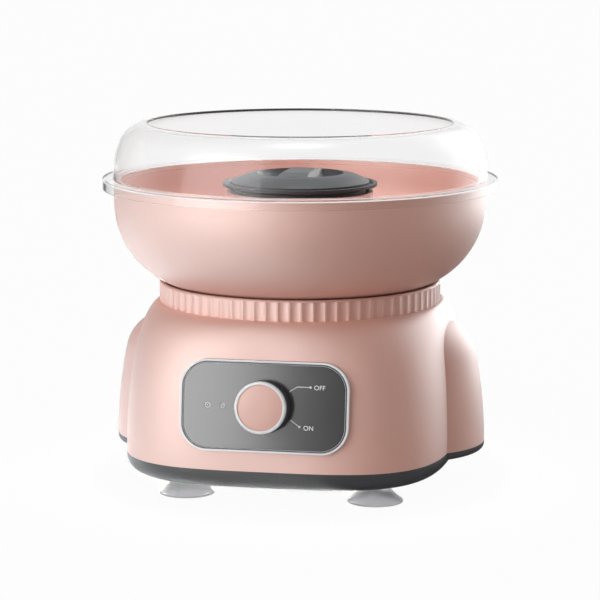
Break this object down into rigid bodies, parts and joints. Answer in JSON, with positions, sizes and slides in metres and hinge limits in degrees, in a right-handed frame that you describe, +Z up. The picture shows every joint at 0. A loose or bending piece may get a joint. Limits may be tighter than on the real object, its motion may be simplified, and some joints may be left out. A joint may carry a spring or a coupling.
{
  "type": "candy floss maker",
  "caption": "Table-top candy-floss maker: lobed pink housing on suction feet, fluted ring, lift-off bowl with clear shield, spinning sugar pan with capped grip, and a front panel with a knob.",
  "frame": {"origin": "on the table under the centre of the bowl, at the bottom of the bounding box", "axes": "+Z up along the bowl's axis, -Y to the front with the control panel, +X to the right seen from the front"},
  "size_m": [0.28, 0.2801, 0.2556],
  "materials": {
    "pink_plastic": "satin moulded plastic, pale pink",
    "dark_plastic": "fine-grained dark grey plastic",
    "clear_plastic": "clear moulded plastic",
    "foot_rubber": "translucent grey silicone rubber",
    "chrome_trim": "bright plated trim",
    "panel_grey": "dark grey satin plate",
    "head_metal": "dark grey coated metal, satin",
    "steel": "bright steel",
    "motor_steel": "zinc-plated steel",
    "copper_core": "varnished copper winding",
    "ceramic_post": "white insulating post",
    "board_green": "circuit board",
    "lamp_red": "lamp body",
    "lens_smoke": "smoked lens",
    "switch_black": "black moulded plastic",
    "gland_rubber": "black rubber bush",
    "brass_nut": "brass"
  },
  "bodies": {
    "base": {"upper_housing": "pink_plastic", "bottom_cover": "dark_plastic", "fluted_ring": "pink_plastic", "motor_deck": "pink_plastic", "heater_tower": "pink_plastic", "motor_can": "motor_steel", "motor_end_bell": "motor_steel", "upper_bearing": "brass_nut", "lower_bearing": "brass_nut", "motor_stator": "copper_core", "motor_bracket": "steel", "bracket_screws": "steel", "cover_screws": "steel", "deck_screws": "steel", "heater_dish": "steel", "heater_ring": "motor_steel", "heater_posts": "ceramic_post", "thermal_cutout": "switch_black", "panel_bezel": "chrome_trim", "panel_plate": "panel_grey", "indicator_lenses": "lens_smoke", "indicator_lamps": "lamp_red", "indicator_board": "board_green", "rotary_switch": "switch_black", "switch_nut": "brass_nut", "cord_gland": "gland_rubber", "terminal_block": "ceramic_post", "suction_foot_1": "foot_rubber", "suction_foot_2": "foot_rubber", "suction_foot_3": "foot_rubber", "suction_foot_4": "foot_rubber"},
    "rotor": {"motor_shaft": "steel", "drive_pin": "steel", "motor_armature": "copper_core", "cooling_fan": "switch_black"},
    "pan": {"sugar_pan": "head_metal", "drive_hub": "steel"},
    "cap": {"pan_cap": "head_metal"},
    "bowl": {"floss_bowl": "pink_plastic"},
    "shield": {"splash_shield": "clear_plastic"},
    "knob": {"knob_skirt": "dark_plastic", "knob_ring": "chrome_trim", "knob_cap": "pink_plastic", "switch_spindle": "steel"}
  },
  "joints": [
    {"name": "head_spin", "type": "hinge", "parent": "base", "child": "rotor", "pos_m": [0, 0, 0.1], "axis": [0, 0, 1], "continuous": true},
    {"name": "pan_lift", "type": "slide", "parent": "rotor", "child": "pan", "axis": [0, 0, 1], "range_m": [0, 0.1]},
    {"name": "cap_lift", "type": "slide", "parent": "pan", "child": "cap", "axis": [0, 0, 1], "range_m": [0, 0.06]},
    {"name": "bowl_lift", "type": "slide", "parent": "base", "child": "bowl", "axis": [0, 0, 1], "range_m": [0, 0.1]},
    {"name": "shield_lift", "type": "slide", "parent": "bowl", "child": "shield", "axis": [0, 0, 1], "range_m": [0, 0.06]},
    {"name": "knob_turn", "type": "hinge", "parent": "base", "child": "knob", "pos_m": [0, -0.122, 0.0743], "axis": [0, 0.9903, -0.1392], "range_deg": [0, 70]}
  ]
}
